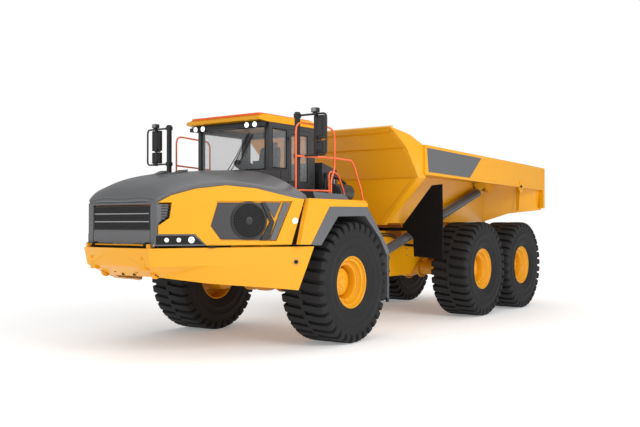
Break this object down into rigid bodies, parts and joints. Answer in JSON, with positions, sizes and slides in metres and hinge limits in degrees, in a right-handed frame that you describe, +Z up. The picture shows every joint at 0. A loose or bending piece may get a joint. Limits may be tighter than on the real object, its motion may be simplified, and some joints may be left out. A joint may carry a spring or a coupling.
{
  "type": "articulated dump truck",
  "caption": "Articulated dump truck: front unit with cab and tilting hood, steering and rolling hitch, and a rear unit with bogie axles and a tipping load body.",
  "frame": {"origin": "on the ground, under the middle of the truck's overall length and width", "axes": "+Y towards the tail, -Y towards the nose, +X the truck's left side, +Z up"},
  "size_m": [4.272, 12.62, 3.9479],
  "materials": {
    "tyre": "matt, deep lugs",
    "wheel_yellow": "gloss",
    "body_yellow": "gloss",
    "charcoal_paint": "satin",
    "black_plastic": "matt",
    "black_rubber": "matt",
    "cylinder_grey": "satin",
    "rod_chrome": "polished",
    "dark_steel": "satin",
    "tinted_glass": "clear",
    "rail_orange": "gloss",
    "seat_cloth": "woven"
  },
  "bodies": {
    "front_chassis": {"front_frame": "body_yellow", "front_axle": "body_yellow", "front_bumper": "body_yellow", "engine_block": "dark_steel", "fender_left": "charcoal_paint", "fender_right": "charcoal_paint", "deck_left": "body_yellow", "deck_right": "body_yellow", "cab_body": "charcoal_paint", "cab_roof": "body_yellow", "light_bar": "black_plastic", "windscreen": "tinted_glass", "rear_window": "tinted_glass", "side_window_right": "tinted_glass", "quarter_window_left": "tinted_glass", "operator_seat": "seat_cloth", "steering_console": "black_plastic", "handrail_left": "rail_orange", "handrail_right": "rail_orange", "mirror_left": "black_plastic", "mirror_right": "black_plastic", "equipment_box": "black_plastic", "access_ladder": "dark_steel"},
    "hood": {"hood_top": "charcoal_paint", "hood_side_left": "body_yellow", "hood_side_right": "body_yellow", "nose_mask": "charcoal_paint"},
    "grille": {"grille_step": "black_plastic"},
    "cab_door": {"cab_door": "charcoal_paint", "door_glass": "tinted_glass"},
    "hitch": {"steering_hitch": "body_yellow"},
    "steer_left_barrel": {"steer_left_barrel": "cylinder_grey"},
    "steer_left_rod": {"steer_left_rod": "rod_chrome"},
    "steer_right_barrel": {"steer_right_barrel": "cylinder_grey"},
    "steer_right_rod": {"steer_right_rod": "rod_chrome"},
    "rear_chassis": {"rear_frame": "body_yellow", "mid_axle": "body_yellow", "rear_axle": "body_yellow", "bogie_beams": "body_yellow", "wheel_guards": "black_rubber"},
    "dump_body": {"dump_body": "body_yellow"},
    "hoist_left_barrel": {"hoist_left_barrel": "cylinder_grey"},
    "hoist_left_rod": {"hoist_left_rod": "rod_chrome"},
    "hoist_right_barrel": {"hoist_right_barrel": "cylinder_grey"},
    "hoist_right_rod": {"hoist_right_rod": "rod_chrome"},
    "wheel_front_left": {"tyre_front_left": "tyre", "rim_front_left": "wheel_yellow"},
    "wheel_front_right": {"tyre_front_right": "tyre", "rim_front_right": "wheel_yellow"},
    "wheel_mid_left": {"tyre_mid_left": "tyre", "rim_mid_left": "wheel_yellow"},
    "wheel_mid_right": {"tyre_mid_right": "tyre", "rim_mid_right": "wheel_yellow"},
    "wheel_rear_left": {"tyre_rear_left": "tyre", "rim_rear_left": "wheel_yellow"},
    "wheel_rear_right": {"tyre_rear_right": "tyre", "rim_rear_right": "wheel_yellow"}
  },
  "joints": [
    {"name": "steer", "type": "hinge", "parent": "front_chassis", "child": "hitch", "pos_m": [0, -1.11, 1.2], "axis": [0, 0, 1], "range_deg": [-45, 45]},
    {"name": "roll", "type": "hinge", "parent": "hitch", "child": "rear_chassis", "pos_m": [0, -0.61, 1.2], "axis": [0, 1, 0], "range_deg": [-15, 15]},
    {"name": "hood_tilt", "type": "hinge", "parent": "front_chassis", "child": "hood", "pos_m": [0, -6.18, 1.735], "axis": [1, 0, 0], "range_deg": [0, 90]},
    {"name": "grille_fold", "type": "hinge", "parent": "front_chassis", "child": "grille", "pos_m": [0, -6.18, 1.735], "axis": [1, 0, 0], "range_deg": [0, 90]},
    {"name": "door_swing", "type": "hinge", "parent": "front_chassis", "child": "cab_door", "pos_m": [0.862, -3.11, 3.14], "axis": [0, 0, -1], "range_deg": [0, 80]},
    {"name": "front_left_spin", "type": "hinge", "parent": "front_chassis", "child": "wheel_front_left", "pos_m": [1.576, -2.71, 1.045], "axis": [1, 0, 0], "continuous": true},
    {"name": "front_right_spin", "type": "hinge", "parent": "front_chassis", "child": "wheel_front_right", "pos_m": [-1.576, -2.71, 1.045], "axis": [1, 0, 0], "continuous": true},
    {"name": "mid_left_spin", "type": "hinge", "parent": "rear_chassis", "child": "wheel_mid_left", "pos_m": [1.576, 2.51, 1.045], "axis": [1, 0, 0], "continuous": true},
    {"name": "mid_right_spin", "type": "hinge", "parent": "rear_chassis", "child": "wheel_mid_right", "pos_m": [-1.576, 2.51, 1.045], "axis": [1, 0, 0], "continuous": true},
    {"name": "rear_left_spin", "type": "hinge", "parent": "rear_chassis", "child": "wheel_rear_left", "pos_m": [1.576, 4.71, 1.045], "axis": [1, 0, 0], "continuous": true},
    {"name": "rear_right_spin", "type": "hinge", "parent": "rear_chassis", "child": "wheel_rear_right", "pos_m": [-1.576, 4.71, 1.045], "axis": [1, 0, 0], "continuous": true},
    {"name": "tip", "type": "hinge", "parent": "rear_chassis", "child": "dump_body", "pos_m": [0, 5.05, 1.6], "axis": [-1, 0, 0], "range_deg": [0, 70]},
    {"name": "hoist_left_swing", "type": "hinge", "parent": "rear_chassis", "child": "hoist_left_barrel", "pos_m": [1.05, -0.32, 1.46], "axis": [-1, 0, 0], "range_deg": [0, 8]},
    {"name": "hoist_left_stroke", "type": "slide", "parent": "hoist_left_barrel", "child": "hoist_left_rod", "axis": [0, 0.9565, 0.2917], "range_m": [0, 1.55]},
    {"name": "hoist_right_swing", "type": "hinge", "parent": "rear_chassis", "child": "hoist_right_barrel", "pos_m": [-1.05, -0.32, 1.46], "axis": [-1, 0, 0], "range_deg": [0, 8]},
    {"name": "hoist_right_stroke", "type": "slide", "parent": "hoist_right_barrel", "child": "hoist_right_rod", "axis": [0, 0.9565, 0.2917], "range_m": [0, 1.55]},
    {"name": "steer_left_swing", "type": "hinge", "parent": "front_chassis", "child": "steer_left_barrel", "pos_m": [0.4, -2.31, 1.15], "axis": [0, 0, 1], "range_deg": [-2, 2]},
    {"name": "steer_left_stroke", "type": "slide", "parent": "steer_left_barrel", "child": "steer_left_rod", "axis": [0.0416, 0.9991, 0], "range_m": [-0.32, 0.32]},
    {"name": "steer_right_swing", "type": "hinge", "parent": "front_chassis", "child": "steer_right_barrel", "pos_m": [-0.4, -2.31, 1.15], "axis": [0, 0, 1], "range_deg": [-2, 2]},
    {"name": "steer_right_stroke", "type": "slide", "parent": "steer_right_barrel", "child": "steer_right_rod", "axis": [-0.0416, 0.9991, 0], "range_m": [-0.32, 0.32]}
  ],
  "couplings": [
    {"joint": "hoist_left_swing", "follows": "tip", "ratio": 0.1022},
    {"joint": "hoist_left_stroke", "follows": "tip", "m_per_rad": 1.2178},
    {"joint": "hoist_right_swing", "follows": "tip", "ratio": 0.1022},
    {"joint": "hoist_right_stroke", "follows": "tip", "m_per_rad": 1.2178},
    {"joint": "steer_left_swing", "follows": "steer", "ratio": -0.02462},
    {"joint": "steer_left_stroke", "follows": "steer", "m_per_rad": 0.40413},
    {"joint": "steer_right_swing", "follows": "steer", "ratio": -0.02462},
    {"joint": "steer_right_stroke", "follows": "steer", "m_per_rad": -0.40413}
  ]
}
